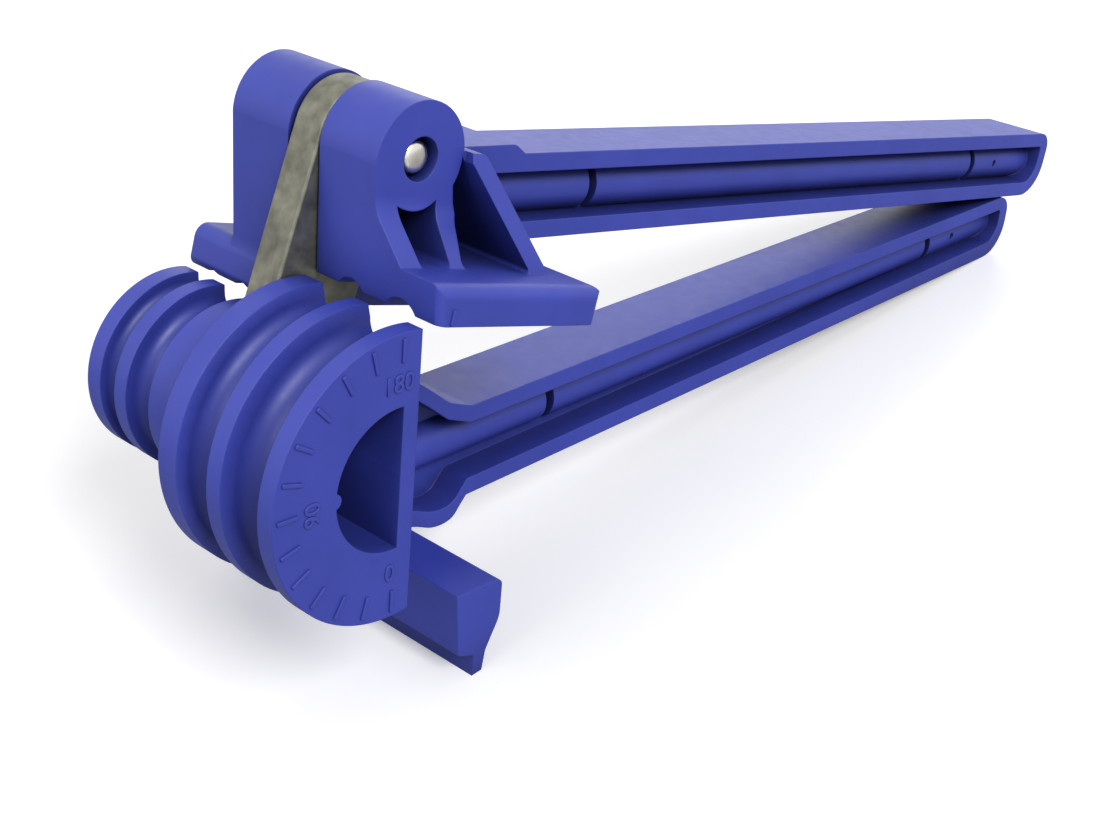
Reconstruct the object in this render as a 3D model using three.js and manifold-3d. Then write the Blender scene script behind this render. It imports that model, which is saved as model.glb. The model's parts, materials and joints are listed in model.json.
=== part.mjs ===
// Hand tube bender for four tube sizes: formers, link, grooved shoe and two handles, lying at rest.
import * as THREE from "three";
import { mergeVertices } from "three/addons/utils/BufferGeometryUtils.js";
import Module from "manifold-3d";

const wasm = await Module();
wasm.setup();

// Millimetres. The tool is drawn with the formers' axis along Y through the origin, X toward the handles
// and Z toward the 180 mark, and is laid on the floor at the end.

// tubes and grooves
const largeTube = 9.53;
const mediumTube = 7.94;
const smallTube = 6.35;
const tinyTube = 4.76;
const grooveDepthShare = 0.75;
const largeFlare = 0.7;
const smallFlare = 0.1;

// clearances and overruns
const gap = 0.3;
const slotPlay = 0.6;
const shoeRun = 0.5;
const overrun = 5;
const weld = 0.001;

// widths along the axis, from the dial face
const dialRidge = 4.1;
const middleRidge = 3.9;
const forkRidge = 5.4;
const linkThickness = 8.2;
const landWidth = 8.95;
const farRidge = 3.85;
const endRidge = 4.3;

// formers
const largeRim = 30;
const smallRim = 20;
const landRadius = 19.2;
const flatOffset = 4.5;
const hollowRadius = 15;
const hollowDepth = 26;
const flatWall = 3.7;
const nubRadius = 1.7;
const tickLength = 4.8;
const tickWidth = 0.9;
const tickHeight = 0.4;
const tickInset = 1.1;
const tickStep = 15;

// link and pins
const linkPitch = 57.9;
const linkHalfWidth = 10.9;
const linkTilt = 18.9;
const pinRadius = 3.2;
const pinDome = 1.2;
const pinTail = 2.4;
const ringWidth = 2.4;
const ringThickness = 1.2;

// shoe
const shoeLean = 6;
const bossRadius = 11.4;
const bossNear = 17.7;
const bossFar = 60.2;
const recessRadius = 4.4;
const pinRecess = 0.7;
const recessDepth = 3.1;
const shoeTrail = 40.8;
const baseThickness = 7.9;
const seatThickness = 6;
const baseRound = 3;
const nearOverhang = 1.2;
const footThickness = 9.1;
const webFoot = 9.8;
const shoulderDrop = 10;
const shoulderRound = 8;
const flankDrop = 2;
const gussetFoot = 32.4;
const gussetNearFoot = 7.5;
const gussetNearTop = 15.8;
const gussetTop = 2.4;
const gussetReach = 15.5;
const gussetWall = 4.2;
const windowRoof = 10;
const windowWall = 5.6;
const windowRound = 1.2;
const ribLeft = 6.5;
const ribFoot = 3.1;
const markWidth = 0.9;
const markInset = 2.6;
const markHeight = 3.4;

// handles
const handleDepth = 19;
const flange = 4;
const webThickness = 4;
const cheekWall = 1.6;
const ribRadius = 6;
const rodRadius = 2.3;
const crescentWidth = 2.6;
const dimpleRadius = 1;
const endTopRound = 5;
const endBottomRound = 10;
const blockStart = 12.5;
const deepStart = 20;
const lowerStart = 49;
const lowerEnd = 276;
const lowerDrop = 9.1;
const lowerEndDrop = 2;
const lowerHeight = 21.9;
const lowerEndHeight = 17.5;
const upperEnd = 278.7;
const upperDrop = 2.9;
const upperHeight = 19;
const padDrop = 0.9;
const padEnd = 38.5;
const padRamp = 3.2;
const upperPocket = 30;
const slotFromEnd = 37.5;
const dimpleFromEnd = 24.4;
const firstSlotLower = 78.6;
const firstSlotUpper = 70;

// catch bar
const barLeft = 18.5;
const barRight = 31.6;
const barDepth = 14.8;
const barRound = 1.8;
const barTaper = 1.5;
const lipLeft = 24.5;
const lipWidth = 2.8;
const lipDrop = 54;

// the lower handle's root, as shares of the large rim's radius
const rootTopShares = [[1.4, -0.217], [1.05, 0.043], [0.667, 0.267], [0, 0.5]];
const rootBottomShares = [[0, -0.933], [1, -1.1], [1.3, -1.2], [1.483, -1.19], [1.577, -1.1]];
const barHeelShares = [[0.935, -1.63], [1.053, -1.4]];

// round faces
const turnSteps = 60;
const arcStep = 15;
const grooveSteps = 8;

const largeMouth = largeTube + 2 * largeFlare;
const mediumMouth = mediumTube + 2 * largeFlare;
const smallMouth = smallTube + 2 * smallFlare;
const tinyMouth = tinyTube + 2 * smallFlare;
const largeGrooveY = dialRidge + largeMouth / 2;
const mediumGrooveY = dialRidge + largeMouth + middleRidge + mediumMouth / 2;
const slotNear = mediumGrooveY + mediumMouth / 2 + forkRidge;
const slotFar = slotNear + linkThickness + 2 * slotPlay;
const middleY = (slotNear + slotFar) / 2;
const smallGrooveY = slotFar + landWidth + smallMouth / 2;
const tinyGrooveY = smallGrooveY + smallMouth / 2 + farRidge + tinyMouth / 2;
const toolWidth = tinyGrooveY + tinyMouth / 2 + endRidge;
const handleNear = middleY - handleDepth / 2;
const handleFar = middleY + handleDepth / 2;
const radians = THREE.MathUtils.degToRad;

// Solids

function solid(geometry) {
  const bare = geometry.clone();
  bare.deleteAttribute("normal");
  bare.deleteAttribute("uv");
  const welded = mergeVertices(bare, weld);
  const vertProperties = welded.attributes.position.array;
  const triVerts = new Uint32Array(welded.index.array);
  return new wasm.Manifold(new wasm.Mesh({ numProp: 3, vertProperties, triVerts }));
}

// a closed outline in X and Z, given as points, from one station along Y to another
function plate(points, near, far) {
  const shape = new THREE.Shape(points);
  const geometry = new THREE.ExtrudeGeometry(shape, { depth: far - near, bevelEnabled: false });
  return solid(geometry.rotateX(Math.PI / 2).translate(0, far, 0));
}

// a closed outline in Y and Z from one station along X to another
function slab(points, left, right) {
  const shape = new THREE.Shape(points);
  const geometry = new THREE.ExtrudeGeometry(shape, { depth: right - left, bevelEnabled: false });
  return solid(geometry.rotateX(Math.PI / 2).rotateZ(Math.PI / 2).translate(left, 0, 0));
}

function block(left, right, near, far, bottom, top) {
  const geometry = new THREE.BoxGeometry(right - left, far - near, top - bottom);
  return solid(geometry.translate((left + right) / 2, (near + far) / 2, (bottom + top) / 2));
}

// a round bar along Y
function bar(radius, near, far, x = 0, z = 0) {
  const sides = turnSteps / 2;
  const geometry = new THREE.CylinderGeometry(radius, radius, far - near, sides);
  return solid(geometry.translate(x, (near + far) / 2, z));
}

// a round bar in the plane y between two points in X and Z
function rodBetween(start, end, y, radius) {
  const run = end.clone().sub(start);
  const middle = start.clone().add(end).multiplyScalar(1 / 2);
  const geometry = new THREE.CylinderGeometry(radius, radius, run.length(), turnSteps / 3);
  geometry.rotateZ(-Math.PI / 2).rotateY(-run.angle());
  return solid(geometry.translate(middle.x, y, middle.y));
}

// a body turned about Y from a profile of radius and station
function turned(profile) {
  const points = profile.map(([radius, y]) => new THREE.Vector2(radius, y));
  return solid(new THREE.LatheGeometry(points, turnSteps));
}

// Outlines

// the arc that rounds a corner [x, z, radius] between its neighbours
function cornerArc(before, [x, z, radius], after) {
  const corner = new THREE.Vector2(x, z);
  const back = new THREE.Vector2(before[0] - x, before[1] - z).normalize();
  const on = new THREE.Vector2(after[0] - x, after[1] - z).normalize();
  const half = Math.acos(back.dot(on)) / 2;
  const centre = back.clone().add(on).setLength(radius / Math.sin(half)).add(corner);
  const first = corner.addScaledVector(back, radius / Math.tan(half));
  const turn = (Math.PI - 2 * half) * Math.sign(on.cross(back));
  return { centre, first, turn };
}

// corners as [x, z, radius], each rounded by an arc of its radius
function outline(corners) {
  const count = corners.length;
  return corners.flatMap((corner, index) => {
    if (!corner[2]) return [new THREE.Vector2(corner[0], corner[1])];
    const before = corners[(index + count - 1) % count];
    const { centre, first, turn } = cornerArc(before, corner, corners[(index + 1) % count]);
    const steps = Math.max(2, Math.ceil(Math.abs(turn) / radians(arcStep)));
    return Array.from({ length: steps + 1 }, (_, step) =>
      first.clone().rotateAround(centre, (turn * step) / steps));
  });
}

// the link's outline about its lower pin, grown by some play
function linkOutline(play) {
  const radius = linkHalfWidth + play;
  const shape = new THREE.Shape();
  shape.absarc(0, 0, radius, Math.PI, 2 * Math.PI);
  shape.absarc(0, linkPitch, radius, 0, Math.PI);
  return shape.getPoints(grooveSteps);
}

// Formers

// the round bottom of a groove, from its near side to its far side
function grooveFloor(rim, tube, y) {
  const radius = tube / 2;
  const centre = rim - grooveDepthShare * tube + radius;
  return Array.from({ length: grooveSteps + 1 }, (_, step) => {
    const angle = (Math.PI * step) / grooveSteps;
    return [centre - radius * Math.sin(angle), y - radius * Math.cos(angle)];
  });
}

function pastFlat() {
  const reach = largeRim + overrun;
  return block(flatOffset, reach, -overrun, toolWidth + overrun, -reach, reach);
}

function dialHollow() {
  const wall = flatOffset - flatWall;
  const reach = hollowRadius + overrun;
  return bar(hollowRadius, -overrun, hollowDepth)
    .subtract(block(wall, reach, -2 * overrun, toolWidth, -reach, reach))
    .subtract(bar(nubRadius, -overrun, hollowDepth + overrun, -hollowRadius - nubRadius / 4));
}

function dialTick(degrees) {
  const geometry = new THREE.BoxGeometry(tickWidth, 2 * tickHeight, tickLength);
  geometry.translate(0, 0, tickLength / 2 + tickInset - largeRim);
  return solid(geometry.rotateY(radians(degrees)));
}

function largeFormer() {
  let body = turned([
    [0, 0],
    [largeRim, 0],
    [largeRim, largeGrooveY - largeMouth / 2],
    ...grooveFloor(largeRim, largeTube, largeGrooveY),
    [largeRim, largeGrooveY + largeMouth / 2],
    [largeRim, mediumGrooveY - mediumMouth / 2],
    ...grooveFloor(largeRim, mediumTube, mediumGrooveY),
    [largeRim, mediumGrooveY + mediumMouth / 2],
    [largeRim, slotNear],
    [0, slotNear],
  ]);
  body = body.subtract(pastFlat()).subtract(dialHollow());
  body = body.subtract(bar(pinRadius + gap, hollowDepth - gap, slotNear + overrun));
  for (let degrees = 0; degrees <= 180; degrees += tickStep) body = body.add(dialTick(degrees));
  return body;
}

function smallFormer() {
  const body = turned([
    [0, slotFar],
    [landRadius, slotFar],
    [landRadius, smallGrooveY - smallMouth / 2],
    ...grooveFloor(smallRim, smallTube, smallGrooveY),
    [smallRim, smallGrooveY + smallMouth / 2],
    [smallRim, tinyGrooveY - tinyMouth / 2],
    ...grooveFloor(smallRim, tinyTube, tinyGrooveY),
    [smallRim, tinyGrooveY + tinyMouth / 2],
    [smallRim, toolWidth],
    [0, toolWidth],
  ]);
  return body.subtract(pastFlat()).subtract(bar(pinRadius + gap, slotNear, toolWidth + overrun));
}

// Link and pins

function linkPlate() {
  const hole = pinRadius + gap;
  return plate(linkOutline(0), slotNear + slotPlay, slotFar - slotPlay)
    .subtract(bar(hole, slotNear, slotFar))
    .subtract(bar(hole, slotNear, slotFar, 0, linkPitch));
}

// a pin along Y with both ends domed
function pin(near, far) {
  const arc = Array.from({ length: grooveSteps / 2 + 1 }, (_, step) => {
    const angle = (Math.PI * step) / grooveSteps;
    return [pinRadius * Math.sin(angle), pinDome * Math.cos(angle)];
  });
  const nearEnd = arc.map(([radius, rise]) => [radius, near + pinDome - rise]);
  const farEnd = arc.toReversed().map(([radius, rise]) => [radius, far - pinDome + rise]);
  return turned([...nearEnd, ...farEnd]);
}

function pinRing(face) {
  const inner = pinRadius + gap;
  const near = face + gap;
  const ring = bar(inner + ringWidth, near, near + ringThickness);
  return ring.subtract(bar(inner, near - overrun, near + overrun));
}

// Shoe, drawn about its pin with X along its underside and Z away from the formers

const shoeDrop = linkPitch * Math.cos(radians(shoeLean)) - largeRim - shoeRun;
const shoeLead = Math.sqrt((linkPitch - largeRim - gap) ** 2 - shoeDrop ** 2);
const footDrop = shoeDrop + largeRim - smallRim;
const baseTop = baseThickness - shoeDrop;
const seatTop = seatThickness - shoeDrop;
const tongueStart = blockStart;
const flankReach = Math.sqrt(bossRadius ** 2 - flankDrop ** 2);
const flankLean = (flankReach - shoeLead) / (shoeDrop - flankDrop);
const gussetLean = (gussetFoot - gussetReach) / (gussetTop - baseTop);
const gussetInside = gussetReach - gussetWall * Math.hypot(1, gussetLean);
const ribRight = ribLeft + ribFoot;
const ribTop = ribRight + flankLean * (-shoulderDrop - baseTop);

function shoeSide(drop) {
  return outline([
    [-flankReach, -flankDrop],
    [-shoeLead, -shoeDrop],
    [-shoeLead, -drop],
    [shoeTrail, -drop],
    [shoeTrail, baseTop, windowRound],
    [gussetFoot, baseTop, windowRound],
    [gussetReach, gussetTop, gussetWall / 2],
    [bossRadius * Math.SQRT1_2, gussetTop],
    [0, 0],
  ]);
}

// the near face runs forward from the boss to the base, in a curve left of the gusset and straight at it
function nearFaceCut() {
  const top = bossRadius + overrun;
  const below = baseTop - 2 * baseRound;
  const base = [
    [-nearOverhang - overrun, top],
    [-nearOverhang - overrun, below],
    [-nearOverhang, below],
    [-nearOverhang, baseTop, baseRound],
  ];
  const web = [[webFoot, baseTop, windowRound], [bossNear, -shoulderDrop, shoulderRound], [bossNear, top]];
  const gusset = [[gussetNearFoot, baseTop], [gussetNearTop, gussetTop], [gussetNearTop, top]];
  const besideGusset = block(gussetInside, ribTop, -overrun - nearOverhang, bossNear, 0, top);
  return slab(outline([...base, ...web]), -bossRadius - overrun, ribTop)
    .subtract(besideGusset)
    .add(slab(outline([...base, ...gusset]), gussetInside, shoeTrail + overrun))
    .add(trailCornerCut());
}

// the base's near corner at its trailing end is round
function trailCornerCut() {
  const x = shoeTrail - baseRound;
  const y = baseRound - nearOverhang;
  const corner = block(x, shoeTrail + overrun, -nearOverhang - overrun, y, -footDrop, 0);
  const round = new THREE.CylinderGeometry(baseRound, baseRound, 2 * footDrop, turnSteps / 2);
  return corner.subtract(solid(round.rotateX(Math.PI / 2).translate(x, y, 0)));
}

// windows on both sides of the rib, the left one under a round roof
function windows() {
  const leftEdge = windowWall - shoeLead;
  const left = outline([
    [leftEdge - flankLean * baseThickness, baseTop, windowRound],
    [ribLeft, baseTop, windowRound],
    [ribLeft, 0],
    [leftEdge - flankLean * shoeDrop, 0],
  ]);
  const right = outline([
    [ribRight, baseTop, windowRound],
    [gussetFoot - gussetReach + gussetInside, baseTop],
    [gussetInside, gussetTop],
    [bossRadius * Math.SQRT1_2, gussetTop],
    [ribTop, -shoulderDrop],
  ]);
  const depth = handleNear - gap;
  return plate(left, -overrun, depth)
    .subtract(bar(windowRoof, -2 * overrun, toolWidth))
    .add(plate(right, -overrun, depth).subtract(bar(bossRadius - gap, -2 * overrun, toolWidth)));
}

// the underside holds the part of each tube that its former's groove leaves free
function shoeGroove(drop, tube, y) {
  const centre = -drop - shoeRun - (1 - grooveDepthShare) * tube;
  const reach = shoeTrail + overrun;
  const start = new THREE.Vector2(-reach, centre);
  return rodBetween(start, new THREE.Vector2(reach, centre), y, tube / 2 + gap);
}

function shoe() {
  const foot = [[-shoeLead, -footDrop], [shoeTrail, -footDrop]];
  foot.push([shoeTrail, footThickness - footDrop, baseRound]);
  foot.push([-shoeLead, footThickness - footDrop, baseRound / 2]);
  const grooves = [
    shoeGroove(shoeDrop, largeTube, largeGrooveY),
    shoeGroove(shoeDrop, mediumTube, mediumGrooveY),
    shoeGroove(footDrop, smallTube, smallGrooveY),
    shoeGroove(footDrop, tinyTube, tinyGrooveY),
  ];
  let body = plate(shoeSide(shoeDrop), -nearOverhang, slotNear)
    .subtract(nearFaceCut())
    .add(bar(bossRadius, bossNear, slotNear))
    .subtract(windows())
    .add(bar(bossRadius, slotFar, bossFar))
    .add(plate(shoeSide(footDrop), slotFar, bossFar))
    .add(plate(outline(foot), slotFar, toolWidth))
    .add(block(tongueStart, shoeTrail - baseThickness, slotNear - gap, slotFar + gap, -shoeDrop, seatTop));
  const notch = block(
    tongueStart, shoeTrail + overrun, handleNear - gap, handleFar + gap, seatTop, bossRadius + overrun);
  body = body.subtract(notch).subtract(bar(pinRadius + gap, 0, toolWidth));
  body = body.subtract(bar(recessRadius, 0, bossNear + recessDepth));
  for (const groove of grooves) body = body.subtract(groove);
  return body.add(indexMark());
}

function indexMark() {
  const left = markInset - shoeLead;
  const near = -nearOverhang - tickHeight;
  return block(left, left + markWidth, near, 0, gap - shoeDrop, markHeight - shoeDrop);
}

// Handles

// the pockets on both sides of a middle wall, from one place along X on
function sidePockets(points, wall, left) {
  const reach = lowerEnd + upperEnd;
  const near = plate(points, handleNear - overrun, middleY - wall / 2);
  const far = plate(points, middleY + wall / 2, handleFar + overrun);
  return near.add(far).intersect(block(left, reach, 0, toolWidth, -reach, reach));
}

// a point on the line of a rib, at a place along X
function onRib([start, end], x) {
  return start.clone().lerp(end, (x - start.x) / (end.x - start.x));
}

// the two ends of a core rod that passes a little beyond its cross slots
function coreEnds(rib, slots, play) {
  const reach = 2 * crescentWidth + play;
  return [onRib(rib, slots[0] - reach), onRib(rib, slots[1] + reach)];
}

function coreRod(rib, slots) {
  const [start, end] = coreEnds(rib, slots, 0);
  return rodBetween(start, end, middleY, rodRadius);
}

// a round rib between the pockets, with a bore, cross slots that open it, and a dimple
function addRib(beam, rib, slots, dimple) {
  const [start, end] = coreEnds(rib, slots, gap);
  const half = crescentWidth / 2;
  const webHalf = webThickness / 2 - gap;
  let body = beam.add(rodBetween(rib[0], rib[1], middleY, ribRadius));
  body = body.subtract(rodBetween(start, end, middleY, rodRadius + gap));
  for (const x of slots) {
    const z = onRib(rib, x).y;
    const across = [x - half, x + half];
    const tall = [z - ribRadius, z + ribRadius];
    body = body.subtract(block(...across, handleNear, middleY - webHalf, ...tall));
    body = body.subtract(block(...across, middleY + webHalf, handleFar, ...tall));
  }
  const z = onRib(rib, dimple).y;
  return body.subtract(bar(dimpleRadius, handleNear, middleY - ribRadius + dimpleRadius, dimple, z));
}

const lowerBottom = lowerDrop + lowerHeight;
const lowerEndBottom = lowerEndDrop + lowerEndHeight;
const lowerCorners = [
  [lowerStart, -lowerBottom],
  [lowerEnd, -lowerEndBottom, endBottomRound],
  [lowerEnd, -lowerEndDrop, endTopRound],
  [lowerStart, -lowerDrop],
];
const lowerSlots = [firstSlotLower, lowerEnd - slotFromEnd];

// the end of a handle, drawn in by a wall, from its bottom corner to its top corner
function handleEnd(x, bottom, top, wall) {
  return [
    [x - wall, bottom + wall, Math.max(endBottomRound - wall, gap)],
    [x - wall, top - wall, Math.max(endTopRound - wall, gap)],
  ];
}

function rootCurve(shares, wall, rise) {
  const edge = flatOffset + gap + wall;
  const points = shares.map(([x, z]) => new THREE.Vector2(Math.max(edge, x * largeRim), z * largeRim + rise));
  return new THREE.SplineCurve(points).getPoints(grooveSteps).map((point) => [point.x, point.y]);
}

// the lower handle's side view, drawn in by a wall
function lowerOutline(wall) {
  return outline([
    [lowerStart, wall - lowerBottom],
    ...handleEnd(lowerEnd, -lowerEndBottom, -lowerEndDrop, wall),
    [lowerStart, -lowerDrop - wall],
    ...rootCurve(rootTopShares, wall, -wall),
    ...rootCurve(rootBottomShares, wall, wall),
  ]);
}

function lowerRib() {
  const start = new THREE.Vector2(flatOffset + flange + ribRadius, -(lowerDrop + lowerBottom) / 2);
  return [start, new THREE.Vector2(lowerEnd - flange, -(lowerEndDrop + lowerEndBottom) / 2)];
}

function lowerHandle() {
  const hollow = lowerOutline(flange);
  const forkWall = slotFar - slotNear + 2 * cheekWall;
  const beam = plate(lowerOutline(0), handleNear, handleFar)
    .subtract(sidePockets(hollow, forkWall, 0))
    .subtract(sidePockets(hollow, webThickness, deepStart));
  const lean = -radians(linkTilt);
  const laidLink = linkOutline(slotPlay).map((point) => point.rotateAround(new THREE.Vector2(), lean));
  return addRib(beam, lowerRib(), lowerSlots, lowerEnd - dimpleFromEnd)
    .subtract(plate(laidLink, slotNear, slotFar))
    .subtract(block(0, blockStart, slotNear, slotFar, -2 * largeRim, 2 * largeRim));
}

// Where the pieces lie. The upper handle rests on the round top corner of the lower one's end.

const linkAngle = radians(linkTilt);
const shoeAngle = radians(linkTilt - shoeLean);
const pinX = linkPitch * Math.sin(linkAngle);
const pinZ = linkPitch * Math.cos(linkAngle);

function upperFall() {
  const { centre } = cornerArc(lowerCorners[1], lowerCorners[2], lowerCorners[3]);
  const across = centre.x - pinX;
  const up = centre.y - pinZ;
  const below = upperDrop + upperHeight + endTopRound + gap;
  return Math.atan2(across, up) - Math.acos(-below / Math.hypot(across, up));
}

const armAngle = upperFall();
const upperSlots = [firstSlotUpper, upperEnd - slotFromEnd];

// a point of the shoe's frame in the upper handle's frame
function fromShoe(x, z) {
  const point = new THREE.Vector2(x, z).rotateAround(new THREE.Vector2(), armAngle - shoeAngle);
  return [point.x, point.y];
}

function upperRib() {
  const z = -upperDrop - upperHeight / 2;
  return [new THREE.Vector2(upperPocket - flange, z), new THREE.Vector2(upperEnd - flange, z)];
}

function upperHandle() {
  const bottom = -upperDrop - upperHeight;
  const side = outline([
    fromShoe(tongueStart + gap, seatTop + gap),
    ...handleEnd(upperEnd, bottom, -upperDrop, 0),
    [padEnd + padRamp, -upperDrop],
    [padEnd, -padDrop, padRamp],
    fromShoe(tongueStart + gap, 0),
  ]);
  const hollow = outline([
    [upperPocket, bottom + flange],
    ...handleEnd(upperEnd, bottom, -upperDrop, flange),
    [upperPocket, -upperDrop - flange],
  ]);
  const beam = plate(side, handleNear, handleFar).subtract(sidePockets(hollow, webThickness, upperPocket));
  return addRib(beam, upperRib(), upperSlots, upperEnd - dimpleFromEnd);
}

// Catch bar. Its lip's flat underside and the lower handle's end lie on the floor.

function floorAngle() {
  const { centre } = cornerArc(lowerCorners[0], lowerCorners[1], lowerCorners[2]);
  const across = centre.x - lipLeft;
  const up = centre.y + lipDrop;
  return Math.atan2(up, across) - Math.asin(endBottomRound / Math.hypot(across, up));
}

const restAngle = floorAngle();

function catchBar() {
  const freeShare = 1 - grooveDepthShare;
  const top = -largeRim - freeShare * largeTube - gap;
  const farTop = -smallRim - freeShare * smallTube - gap;
  const section = (height) => outline([
    [lipLeft, -lipDrop],
    [lipLeft + lipWidth, lipWidth * Math.tan(restAngle) - lipDrop],
    ...barHeelShares.map(([x, z]) => [x * largeRim, z * largeRim]),
    [barRight, height, barRound],
    [barLeft, height],
    [barLeft + barTaper, top - barDepth],
    [lipLeft, top - barDepth - barTaper],
  ]);
  return plate(section(top), 0, handleFar + 2 * gap)
    .add(plate(section(farTop), handleFar + gap, toolWidth))
    .subtract(plate(lowerOutline(-gap), handleNear - gap, handleFar + gap));
}

// Scene

const bluePlastic = { color: 0x4048b4, roughness: 0.5, metalness: 0 };
const greySteel = { color: 0x7d7d69, roughness: 0.45, metalness: 0.9 };
const brightSteel = { color: 0xd7d2c3, roughness: 0.25, metalness: 0.95 };

function piece(name, body, look) {
  const { vertProperties, triVerts } = body.getMesh();
  const geometry = new THREE.BufferGeometry();
  geometry.setAttribute("position", new THREE.BufferAttribute(vertProperties, 3));
  geometry.setIndex(new THREE.BufferAttribute(triVerts, 1));
  const mesh = new THREE.Mesh(geometry.toNonIndexed(), new THREE.MeshStandardMaterial(look));
  mesh.geometry.computeVertexNormals();
  mesh.name = name;
  return mesh;
}

function atUpperPin(angle) {
  const frame = new THREE.Group();
  frame.position.set(pinX, 0, pinZ);
  frame.rotation.y = angle;
  return frame;
}

const tool = new THREE.Group();
tool.rotation.y = restAngle;
tool.add(piece("large_former", largeFormer(), bluePlastic));
tool.add(piece("small_former", smallFormer(), bluePlastic));
tool.add(piece("catch_bar", catchBar(), bluePlastic));
tool.add(piece("lower_handle", lowerHandle(), bluePlastic));
tool.add(piece("lower_core_rod", coreRod(lowerRib(), lowerSlots), brightSteel));
tool.add(piece("lower_pivot_pin", pin(hollowDepth + 2 * gap, toolWidth + pinTail), brightSteel));
tool.add(piece("lower_pin_ring", pinRing(toolWidth), brightSteel));

const linkFrame = new THREE.Group();
linkFrame.rotation.y = linkAngle;
linkFrame.add(piece("link_plate", linkPlate(), greySteel));
tool.add(linkFrame);

const shoeFrame = atUpperPin(shoeAngle);
shoeFrame.add(piece("shoe", shoe(), bluePlastic));
shoeFrame.add(piece("upper_pivot_pin", pin(bossNear + pinRecess, bossFar + pinTail), brightSteel));
shoeFrame.add(piece("upper_pin_ring", pinRing(bossFar), brightSteel));
tool.add(shoeFrame);

const armFrame = atUpperPin(armAngle);
armFrame.add(piece("upper_handle", upperHandle(), bluePlastic));
armFrame.add(piece("upper_core_rod", coreRod(upperRib(), upperSlots), brightSteel));
tool.add(armFrame);

// the origin is under the middle of the whole tool, on the floor
const bender = new THREE.Group();
bender.add(tool);
const bounds = new THREE.Box3().setFromObject(bender, true);
const middle = bounds.getCenter(new THREE.Vector3());
tool.position.set(-middle.x, -middle.y, -bounds.min.z);

export default bender;
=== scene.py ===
# A blue hand tube bender lying closed on a white floor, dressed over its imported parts.
import json
import math

import bpy
from mathutils import Matrix, Vector


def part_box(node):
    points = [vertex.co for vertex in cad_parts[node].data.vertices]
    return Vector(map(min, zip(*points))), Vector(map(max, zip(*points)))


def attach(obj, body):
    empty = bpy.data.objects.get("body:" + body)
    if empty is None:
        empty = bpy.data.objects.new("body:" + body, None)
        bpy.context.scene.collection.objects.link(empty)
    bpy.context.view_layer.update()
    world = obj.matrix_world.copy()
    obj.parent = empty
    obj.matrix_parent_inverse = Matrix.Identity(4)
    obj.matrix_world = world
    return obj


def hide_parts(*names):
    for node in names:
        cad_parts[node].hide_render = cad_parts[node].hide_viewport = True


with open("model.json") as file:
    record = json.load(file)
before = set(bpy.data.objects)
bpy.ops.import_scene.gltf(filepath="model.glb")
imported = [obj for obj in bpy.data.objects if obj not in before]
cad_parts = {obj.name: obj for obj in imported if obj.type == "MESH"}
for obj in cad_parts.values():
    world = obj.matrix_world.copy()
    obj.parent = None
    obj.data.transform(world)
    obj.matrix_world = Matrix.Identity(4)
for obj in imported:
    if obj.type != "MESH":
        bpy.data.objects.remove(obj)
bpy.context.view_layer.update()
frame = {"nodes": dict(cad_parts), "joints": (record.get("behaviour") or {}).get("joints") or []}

# Places. The tool frame has the formers' axis along Y through its origin at the dial face, X toward the handles
# and Z toward the 180 mark. It lies turned about Y by the rest angle. All lengths are metres.

joints = {joint["name"]: joint for joint in frame["joints"]}
tool = dict(linkTilt=18.9, shoeLean=6.0, tickHeight=0.0004, gap=0.0003, shoeRun=0.0005, grooveDepthShare=0.75)
gap = tool["gap"]

# how far a cutting body reaches past a face, and past the whole tool
clear, beyond = 0.005, 0.4

axis = Vector(joints["link_swing"]["pos_m"])
upperPin = Vector(joints["shoe_swing"]["pos_m"])
axis.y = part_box("large_former")[0].y + tool["tickHeight"]
upperPin.y = axis.y
linkReach = upperPin - axis
linkPitch = linkReach.length
restAngle = math.atan2(linkReach.x, linkReach.z) - math.radians(tool["linkTilt"])
shoeAngle = restAngle + math.radians(tool["linkTilt"] - tool["shoeLean"])


def stationsOf(node):
    low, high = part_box(node)
    return low.y - axis.y, high.y - axis.y


slotNear = stationsOf("large_former")[1]
slotFar, toolWidth = stationsOf("small_former")
handleNear, handleFar = stationsOf("lower_handle")
linkNear, linkFar = stationsOf("link_plate")
middleY = (handleNear + handleFar) / 2


def frameAt(place, angle):
    return Matrix.Translation(place) @ Matrix.Rotation(angle, 4, "Y")


toolFrame = frameAt(axis, restAngle)
linkFrame = frameAt(axis, math.atan2(linkReach.x, linkReach.z))
shoeFrame = frameAt(upperPin, shoeAngle)


# Modelling steps. Points closer than these lengths become one, and the angles are degrees.

finish = dict(spinMerge=0.000002, merge=0.00002, sliver=0.00001, flat=0.5, sharp=28, smooth=40)


def deselectAll():
    bpy.ops.object.select_all(action="DESELECT")


def choose(piece):
    deselectAll()
    piece.select_set(True)
    bpy.context.view_layer.objects.active = piece


def editAll(piece):
    choose(piece)
    bpy.ops.object.mode_set(mode="EDIT")
    bpy.ops.mesh.select_all(action="SELECT")


def endEdit():
    bpy.ops.mesh.select_all(action="SELECT")
    bpy.ops.mesh.normals_make_consistent(inside=False)
    bpy.ops.object.mode_set(mode="OBJECT")


# a chain of edges drawn vertex by vertex, left in edit mode with all of it selected
def traced(name, points):
    deselectAll()
    bpy.ops.mesh.primitive_plane_add()
    piece = bpy.context.object
    piece.name = name
    bpy.ops.object.mode_set(mode="EDIT")
    bpy.ops.mesh.select_all(action="SELECT")
    bpy.ops.mesh.merge(type="CENTER")
    bpy.ops.transform.translate(value=points[0])
    for before, after in zip(points, points[1:]):
        step = Vector(after) - Vector(before)
        bpy.ops.mesh.extrude_region_move(TRANSFORM_OT_translate={"value": step})
    bpy.ops.mesh.select_all(action="SELECT")
    return piece


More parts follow.
